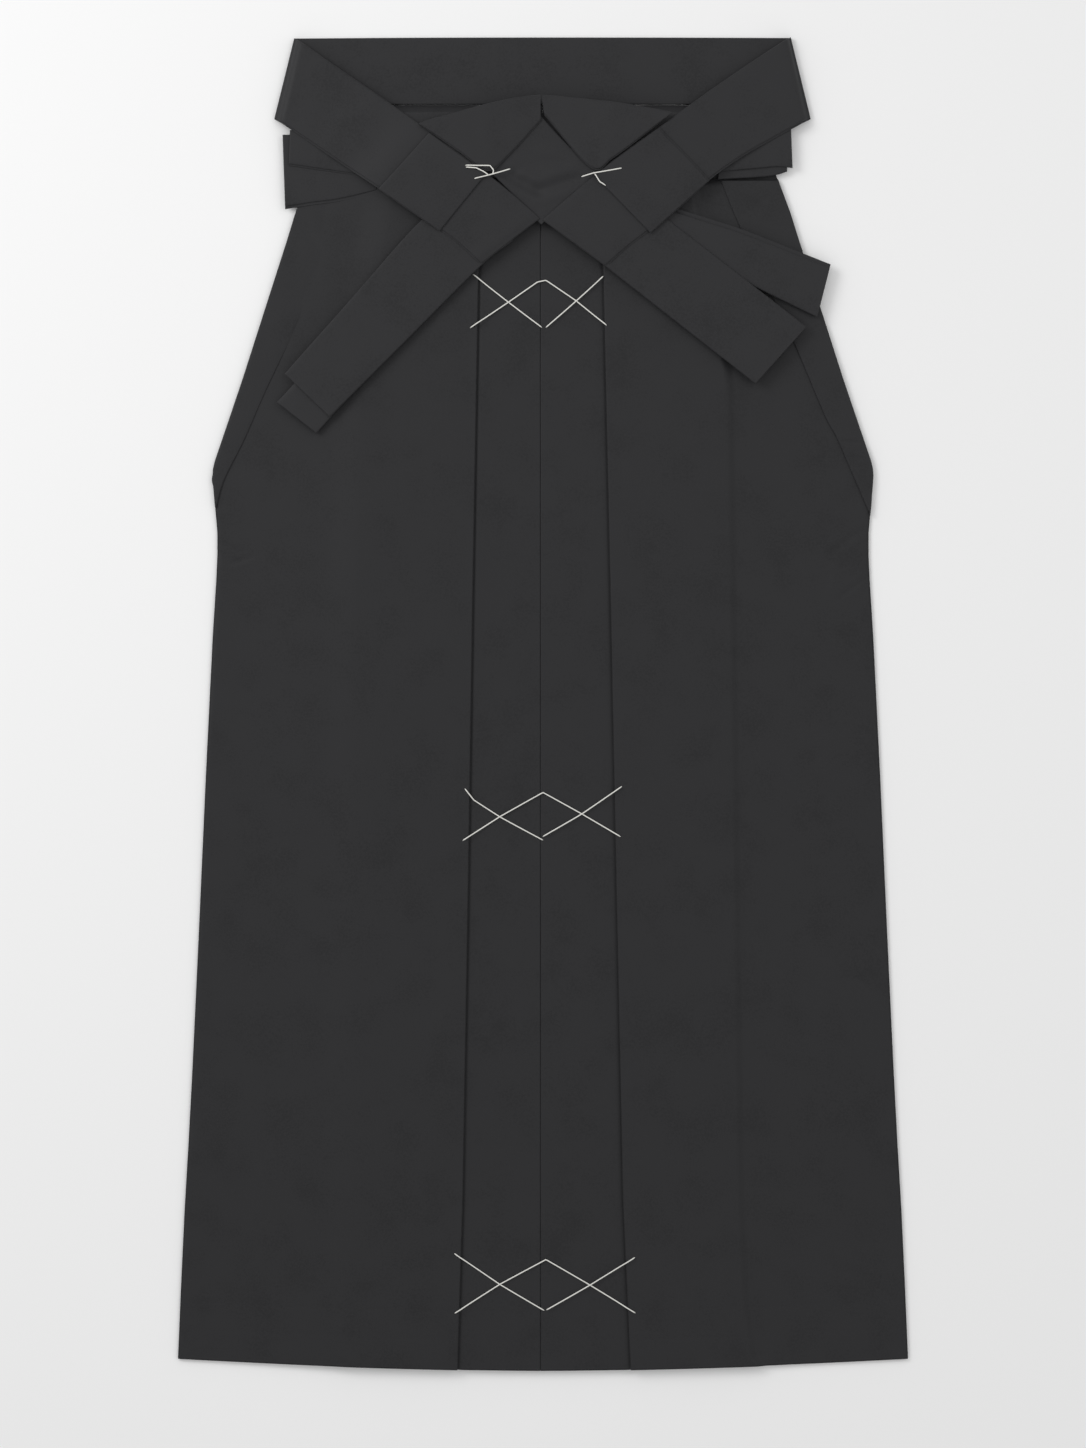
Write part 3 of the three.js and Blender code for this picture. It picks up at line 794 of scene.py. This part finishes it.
TIE_STRIPS = (
    Strip("back_waistband_cloth", "back_waistband",
          ((-194.2, 1040.2), (-100, 1040.8), (-1.6, 1041.0), (100, 1040.9), (193.4, 1040.6)),
          ((-207.0, 988.5), (-100, 988.4), (-1.6, 988.5), (100, 988.5), (206.2, 988.5)),
          (0.0,) * 5, thickness=1.8, lower_edge=Edge.FOLD, puff=0.2, unevenness=0.06, seed=3,
          rests_on=("studio_floor",)),
    Strip("front_waistband_cloth", "front_waistband", ((-120, 981.6), (120, 981.6)),
          ((-120, 930.3), (120, 930.3)), (6.9, 6.9), lower_edge=Edge.FOLD, seed=4),
    Strip("loop_left_lower_cloth", "loop_left_lower",
          ((-203.2, 964.5), (-185.0, 964.5), (-166.1, 964.5), (-130.3, 952.8)),
          ((-201.2, 906.4), (-180.5, 909.6), (-158.3, 912.6), (-130.3, 919.0)),
          (3.9, 3.9, 4.0, 4.4), first=End.FOLDED, step=2.2, seed=5,
          rests_on=("side_fold_cloth_left",)),
    Strip("loop_left_upper_cloth", "loop_left_upper",
          ((-197.3, 967.9), (-183.0, 966.5), (-170.0, 964.5), (-141.2, 952.8)),
          ((-198.3, 940.2), (-183.0, 938.0), (-170.0, 936.1), (-141.2, 932.0)),
          (5.9, 5.9, 5.9, 6.0), first=End.FOLDED, step=1.3, seed=6,
          rests_on=("loop_left_lower_cloth",)),
    Strip("loop_right_lower_cloth", "loop_right_lower",
          ((192.0, 966.0), (181.0, 966.0), (167.3, 966.0), (139.6, 950.8)),
          ((190.4, 935.6), (181.0, 932.9), (165.3, 931.2), (136.6, 929.6)),
          (3.9, 3.9, 3.9, 4.0), lower_edge=Edge.FOLD, first=End.FOLDED, seed=7,
          rests_on=("side_fold_cloth_right",)),
    Strip("loop_right_upper_cloth", "loop_right_upper",
          ((193.4, 969.1), (181.0, 967.5), (169.3, 965.1), (139.6, 952.8)),
          ((194.6, 938.2), (183.0, 939.4), (169.3, 938.2), (139.6, 935.6)),
          (5.8, 5.8, 5.8, 5.9), lower_edge=Edge.FOLD, first=End.FOLDED, thickness=1.9, seed=8,
          rests_on=("loop_right_lower_cloth",)),
    Strip("back_tie_left_cloth", "back_tie_left",
          ((-194.2, 1040.1), (-186.4, 1034.7), (-158.3, 1015.2), (-123.2, 991.0), (-88.1, 966.0),
           (-66.3, 950.4), (-43.7, 933.3), (-22.6, 916.1), (-2.3, 898.2)),
          ((-209.8, 977.0), (-201.6, 971.5), (-181.7, 957.8), (-154.4, 939.1), (-127.9, 921.2),
           (-104.5, 904.4), (-80.3, 888.8), (-64.0, 876.3), (-49.1, 862.3)),
          (2.1, 7.6, 8.0, 9.4, 12.2, 12.6, LATTICE, LATTICE, LATTICE),
          first=End.FOLDED, last=End.ROLLED, seed=9),
    Strip("back_tie_right_cloth", "back_tie_right",
          ((193.4, 1040.9), (185.6, 1035.8), (153.7, 1014.8), (120.9, 991.8), (91.3, 969.9), (64.7, 951.2),
           (39.0, 930.9), (18.7, 913.8), (-0.6, 897.0)),
          ((209.0, 977.0), (200.5, 972.0), (181.0, 961.4), (155.2, 946.5), (130.3, 928.6), (106.9, 906.8),
           (83.5, 888.8), (66.3, 875.6), (49.1, 860.7)),
          (2.1, 7.6, 8.0, 9.4, 12.2, 12.6, LATTICE, LATTICE, LATTICE),
          first=End.FOLDED, last=End.ROLLED, seed=10),
    Strip("upper_fan_left_cloth", "upper_fan_left",
          ((-96.6, 971.8), (-88.1, 975.0), (-68.6, 980.1), (-49.1, 985.9), (-23.4, 991.8), (-1.9, 994.5)),
          ((-93.9, 969.3), (-82.0, 960.9), (-64.7, 949.0), (-43.1, 934.6), (-26.5, 946.9), (-1.9, 973.4)),
          (TOP, TOP, TOP, TOP - 0.4, 13.2, LATTICE), seed=12),
    Strip("upper_fan_right_cloth", "upper_fan_right",
          ((100.0, 980.6), (87.4, 983.2), (60.1, 987.9), (25.7, 991.8), (-1.2, 994.5)),
          ((94.0, 975.0), (80.0, 963.6), (54.3, 944.4), (37.4, 937.0), (0.9, 978.6)),
          (TOP, TOP, TOP, 13.4, LATTICE), seed=13),
    Strip("diamond_centre_cloth", "diamond_centre",
          ((-1.6, 978.0), (18.0, 957.0), (43.0, 934.8)), ((-43.0, 936.4), (-22.0, 915.0), (-1.6, 893.5)),
          (MIDDLE, MIDDLE, MIDDLE), thickness=1.6, lower_edge=Edge.FOLD, unevenness=0.2, seed=14,
          creases=(Crease((-28.0, 932.0), (-4.0, 920.0), -1.7, 4.2),
                   Crease((-4.0, 920.0), (28.0, 930.0), -1.9, 4.4),
                   Crease((-2.0, 943.0), (16.0, 941.5), -0.7, 4.0),
                   Crease((-26.0, 934.0), (-16.0, 938.0), -0.6, 3.0))),
    Strip("diamond_left_cloth", "diamond_left",
          ((-88.9, 964.4), (-108.0, 943.0), (-128.2, 921.0)),
          ((-44.5, 932.0), (-62.5, 910.0), (-80.3, 888.0)),
          (TOP, TOP, TOP), lower_edge=Edge.FOLD, last=End.ROLLED, seed=15),
    Strip("diamond_right_cloth", "diamond_right",
          ((39.8, 931.2), (61.5, 909.0), (83.5, 886.5)), ((90.6, 968.6), (111.0, 948.0), (129.8, 927.8)),
          (TOP, TOP, TOP), last=End.ROLLED, seed=16),
    Strip("tail_left_lower_cloth", "tail_left_lower",
          ((-90.0, 880.6), (-140.0, 827.0), (-181.0, 783.6), (-207.5, 755.4)),
          ((-56.9, 862.4), (-110.0, 802.0), (-150.0, 760.5), (-176.6, 731.2)),
          (LOW, LOW, LOW, LOW - 1.0), lower_edge=Edge.FOLD, last=End.FOLDED, seed=17),
    Strip("tail_left_upper_cloth", "tail_left_upper",
          ((-75.7, 913.0), (-103.0, 888.8), (-150.5, 834.5), (-184.5, 796.2), (-201.2, 777.3)),
          ((-23.4, 881.0), (-49.1, 860.7), (-108.0, 801.8), (-146.7, 763.1), (-166.1, 743.7)),
          (MIDDLE, MIDDLE, MIDDLE, MIDDLE, MIDDLE - 0.5), lower_edge=Edge.FOLD, last=End.FOLDED, seed=18,
          rests_on=("tail_left_lower_cloth",)),
    Strip("tail_right_lower_cloth", "tail_right_lower",
          ((91.3, 910.6), (130.0, 898.2), (157.0, 889.3), (224.2, 863.0)),
          ((83.5, 884.4), (118.0, 868.0), (148.0, 853.4), (213.7, 821.7)),
          (LOW, LOW, LOW, LOW - 1.5), upper_edge=Edge.LAYERED, lower_edge=Edge.FOLD, step=3.4,
          last=End.FOLDED, seed=19),
    Strip("tail_right_upper_cloth", "tail_right_upper",
          ((69.4, 918.5), (98.3, 896.6), (149.8, 856.8), (187.8, 827.4), (205.1, 813.9)),
          ((24.4, 880.6), (49.1, 860.7), (109.2, 813.6), (148.0, 783.2), (165.4, 769.5)),
          (MIDDLE, MIDDLE, MIDDLE, MIDDLE, MIDDLE - 0.5), lower_edge=Edge.FOLD, last=End.FOLDED, seed=20,
          rests_on=("tail_right_lower_cloth",)),
)


# ---------------------------------------------------------------- basting thread


@dataclass(frozen=True)
class BastingThread:
    """White basting stitches: each a short straight thread lying on the cloth."""

    name: str
    paths: tuple[tuple[tuple[float, float], ...], ...]
    pleat_left: float
    pleat_right: float
    on_lattice: bool = False
    radius: float = 0.48

    def height(self, x: np.ndarray) -> np.ndarray:
        """Height of a thread's middle over the pleats: high on the side panels, sinking over the centre."""
        if self.on_lattice:
            return np.full_like(x, TOP + 1.8 + self.radius + 0.25)
        inside = np.minimum(x - self.pleat_left, self.pleat_right - x)
        sunk = 1.0 - np.exp(-np.clip(inside - 0.6, 0.0, None) / 4.5)
        return 7.35 + self.radius - 2.0 * sunk

    def build(self, material: bpy.types.Material) -> bpy.types.Object:
        """Carry a circle along each path, c + r (n cos a + up sin a), and join all of them as one piece."""
        spots, faces, flats, base = [], [], [], 0
        around = np.linspace(0.0, 2 * math.pi, 9)[:-1]
        for number, path in enumerate(self.paths):
            corners = np.asarray(path, float)
            piece = np.hypot(*np.diff(corners, axis=0).T)
            walked = np.r_[0.0, np.cumsum(piece)]
            place = np.linspace(0.0, walked[-1], max(8, int(walked[-1] / 1.2)))
            x, h = (np.interp(place, walked, corners[:, i]) for i in (0, 1))
            bow = 0.35 * np.sin(math.pi * place / walked[-1]) * (1 if number % 2 else -1)
            tangent = np.stack([np.gradient(x), np.gradient(h)], axis=-1)
            tangent /= np.hypot(*tangent.T)[:, None]
            x, h = x - tangent[:, 1] * bow, h + tangent[:, 0] * bow
            z = self.height(x) + 0.5 * (number % 3)
            ends = np.minimum(place, walked[-1] - place)
            z = z - 0.9 * np.exp(-(ends / 1.0) ** 2)
            radius = self.radius * np.sqrt(np.clip(ends / 0.5, 0.15, 1.0))
            side = np.stack([-tangent[:, 1], tangent[:, 0], np.zeros(len(x))], axis=-1)
            ring = (np.stack([x, h - GARMENT_LENGTH / 2, z], axis=-1)[:, None, :]
                    + radius[:, None, None] * (side[:, None, :] * np.cos(around)[None, :, None]
                                               + np.array([0.0, 0.0, 1.0]) * np.sin(around)[None, :, None]))
            n = len(around)
            index = base + np.arange(len(x) * n).reshape(len(x), n)
            turned = np.roll(index, -1, axis=1)
            quads = np.stack([index[:-1], turned[:-1], turned[1:], index[1:]], axis=-1)
            faces += quads.reshape(-1, 4).tolist()
            faces += [index[0, ::-1].tolist(), index[-1].tolist()]
            spots.append(ring.reshape(-1, 3))
            flats.append(np.stack([np.broadcast_to(around * radius[:, None], index.shape),
                                   np.broadcast_to(place[:, None], index.shape)], axis=-1).reshape(-1, 2))
            base += len(x) * n
        made = finished(self.name, np.concatenate(spots), faces, len(faces), np.concatenate(flats), material)
        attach(made, "root")
        LOG.info("%s: %d stitches", self.name, len(self.paths))
        return made


BASTING = (
    BastingThread("basting_waist", (
        ((-54.8, 855.6), (-0.8, 814.0)), ((-56.8, 813.5), (-26.4, 833.7), (-4.1, 849.1), (2.2, 850.4),
                                          (25.5, 834.7), (49.7, 815.4)),
        ((2.2, 813.9), (25.5, 834.7), (47.1, 853.9))), -50.8, 47.8),
    BastingThread("basting_knee", (
        ((-61.0, 454.4), (-53.8, 445.5), (-33.2, 432.4), (0.2, 414.0)),
        ((-62.7, 413.8), (-33.2, 432.4), (0.0, 450.9), (29.7, 434.6), (60.6, 416.8)),
        ((-0.2, 416.9), (29.7, 434.6), (61.5, 456.1))), -57.4, 56.2),
    BastingThread("basting_hem", (
        ((-69.3, 92.0), (-33.2, 67.7), (1.1, 47.1)),
        ((-69.0, 45.2), (-33.2, 67.7), (2.3, 86.6), (36.0, 67.2), (72.1, 45.5)),
        ((2.6, 47.7), (36.0, 67.2), (71.7, 89.0))), -64.5, 65.5),
    BastingThread("basting_tie_left", (
        ((-53.6, 928.7), (-25.3, 936.3)), ((-60.4, 939.0), (-50.3, 938.4), (-41.3, 938.4), (-38.4, 935.0),
                                           (-39.2, 931.9)),
        ((-60.1, 937.5), (-51.8, 937.2), (-45.9, 934.2), (-42.1, 931.2))), 0.0, 0.0, on_lattice=True),
    BastingThread("basting_tie_right", (
        ((29.8, 930.1), (39.2, 933.3), (49.7, 935.1), (61.6, 936.9)),
        ((40.0, 932.7), (43.7, 926.0), (48.9, 923.1))), 0.0, 0.0, on_lattice=True),
)


# ---------------------------------------------------------------- garment and studio


@dataclass(frozen=True)
class Garment:
    """The whole folded hakama: panels, side folds, ties and basting."""

    cloth: PleatedCloth = PleatedCloth("pressed charcoal polyester, plain woven", "#1d1d1f", "#232325")
    tie_cloth: PleatedCloth = PleatedCloth("folded charcoal polyester tie, plain woven", "#1e1e20", "#252527")
    cotton: BastingCotton = BastingCotton()

    def build(self) -> None:
        """Build every piece, from the surface up."""
        cloth, tie, cotton = self.cloth.material(), self.tie_cloth.material(), self.cotton.material()
        for side, word in ((-1, "left"), (1, "right")):
            BackPanel(side, word).build(cloth)
            InnerLeg(side, word).build(cloth)
        self.front_left().build(cloth)
        self.front_right().build(cloth)
        side_fold(-1, "left", LEFT_SIDE_INNER, (Crease((-190, 895), (-176, 880), -0.35, 5.0),)).build(cloth)
        side_fold(1, "right", RIGHT_SIDE_INNER, (
            Crease((157.6, 903.6), (181.0, 917.7), -0.8, 5.5),
            Crease((233.2, 725.0), (245.7, 724.2), -0.5, 1.8),
            Crease((241.0, 712.5), (248.8, 711.8), -0.5, 1.6))).build(cloth)
        for strip in TIE_STRIPS:
            strip.build(tie)
        for thread in BASTING:
            thread.build(cotton)

    @staticmethod
    def front_left() -> FrontPanel:
        """The half on the viewer's left, whose side pleat sinks gently."""
        return FrontPanel(
            side=-1, word="left", centre=2.0,
            pleat_line=((0, 67.1), (134, 63.0), (368, 58.9), (602, 55.3), (859, 50.7), (930, 49.0)),
            crest=((0, 147.0), (602, 144.0), (765, 140.0), (860, 126.0), (930, 112.0)),
            steep_share=0.25, steep_run=26.0, gentle_run=60.0,
            creases=(Crease((-250.4, 643.9), (-234.8, 636.1), -0.5, 1.7),
                     Crease((-251.9, 636.9), (-242.6, 628.3), -0.45, 1.6),
                     Crease((-242.6, 628.3), (-227.8, 633.0), -0.4, 1.9),
                     Crease((-254.5, 672.8), (-248.4, 672.3), -0.4, 1.2),
                     Crease((-262.0, 330.0), (-246.0, 322.0), -0.25, 3.0),
                     Crease((-277.0, 131.0), (-262.0, 122.0), -0.3, 3.0)))

    @staticmethod
    def front_right() -> FrontPanel:
        """The half on the viewer's right, whose side pleat ends in a clear step."""
        return FrontPanel(
            side=1, word="right", centre=-2.0,
            pleat_line=((0, 68.8), (134, 62.8), (368, 57.9), (602, 53.2), (853, 47.6), (930, 46.0)),
            crest=((0, 166.0), (8, 160.0), (48, 154.0), (134, 150.0), (368, 147.0), (602, 144.0),
                   (765, 142.0), (860, 126.0), (930, 112.0)),
            steep_share=0.62, steep_run=9.0, gentle_run=26.0,
            creases=(Crease((247.3, 653.2), (225.4, 636.9), -0.6, 2.6),
                     Crease((225.4, 636.9), (220.0, 609.6), -0.45, 3.4),
                     Crease((251.2, 636.1), (242.6, 618.9), -0.5, 1.6),
                     Crease((251.9, 615.8), (230.1, 600.2), -0.5, 1.9),
                     Crease((251.9, 334.2), (268.5, 319.4), -0.4, 2.6),
                     Crease((222.3, 319.4), (263.6, 285.9), -0.25, 4.0),
                     Crease((263.6, 129.1), (278.5, 122.9), -0.4, 2.6),
                     Crease((222.3, 79.2), (280.8, 46.4), -0.22, 4.0),
                     Crease((32.8, 67.5), (44.5, 48.0), -0.3, 2.4),
                     Crease((71.8, 55.8), (83.5, 44.1), -0.3, 2.4)))


@dataclass(frozen=True)
class Studio:
    """White paper, an even bright surround and a soft key from the viewer's left."""

    lens: float = 100.0
    sensor: float = 36.0
    frame_height: float = 1129.4  # millimetres of the surface that the frame's long side takes in
    look_at_h: float = 504.7
    surround: float = 0.62

    def build(self) -> None:
        """Lay the paper, light it and set the camera straight above."""
        self.paper()
        self.surroundings()
        self.lamp("key_softbox", (-1.5, 1.1, 1.5), 1.0, 17.0)
        self.lamp("fill_softbox", (1.4, 0.6, 2.2), 1.6, 7.0)
        camera = bpy.data.cameras.new("camera")
        camera.lens, camera.sensor_width, camera.sensor_fit = self.lens, self.sensor, "AUTO"
        camera.clip_start, camera.clip_end = 0.1, 50.0
        seat = bpy.data.objects.new("camera", camera)
        distance = self.frame_height * METRE * self.lens / self.sensor
        seat.location = (0.0, (self.look_at_h - GARMENT_LENGTH / 2) * METRE, distance + 0.006)
        bpy.context.scene.collection.objects.link(seat)
        bpy.context.scene.camera = seat
        bpy.context.scene.view_settings.view_transform = "Standard"

    def paper(self) -> None:
        """One wide flat sheet of paper under the garment."""
        mesh = bpy.data.meshes.new("studio_floor")
        half = 6.0
        mesh.from_pydata([(-half, -half, 0.0), (half, -half, 0.0), (half, half, 0.0), (-half, half, 0.0)], [],
                         [(0, 1, 2, 3)])
        mesh.materials.append(StudioPaper().material())
        floor = bpy.data.objects.new("studio_floor", mesh)
        bpy.context.scene.collection.objects.link(floor)

    def surroundings(self) -> None:
        """An even white room."""
        world = bpy.data.worlds.new("studio_room")
        world.use_nodes = True
        world.node_tree.nodes["Background"].inputs["Color"].default_value = (1.0, 1.0, 1.0, 1.0)
        world.node_tree.nodes["Background"].inputs["Strength"].default_value = self.surround
        bpy.context.scene.world = world

    def lamp(self, name: str, place: tuple[float, float, float], size: float, power: float) -> None:
        """Hang one square softbox that faces the garment's middle.

        Args:
            name: the lamp's name.
            place: where it hangs, in metres.
            size: its side, in metres.
            power: its power in watts.
        """
        light = bpy.data.lights.new(name, "AREA")
        light.size, light.energy = size, power
        made = bpy.data.objects.new(name, light)
        made.location = place
        distance = math.sqrt(sum(c * c for c in place))
        made.rotation_euler = (math.acos(place[2] / distance), 0.0, math.atan2(place[0], -place[1]))
        bpy.context.scene.collection.objects.link(made)


def main() -> None:
    """Build the garment and its studio."""
    logging.basicConfig(level=logging.INFO, format="%(message)s")
    Studio().build()
    Garment().build()


if __name__ == "__main__":
    main()
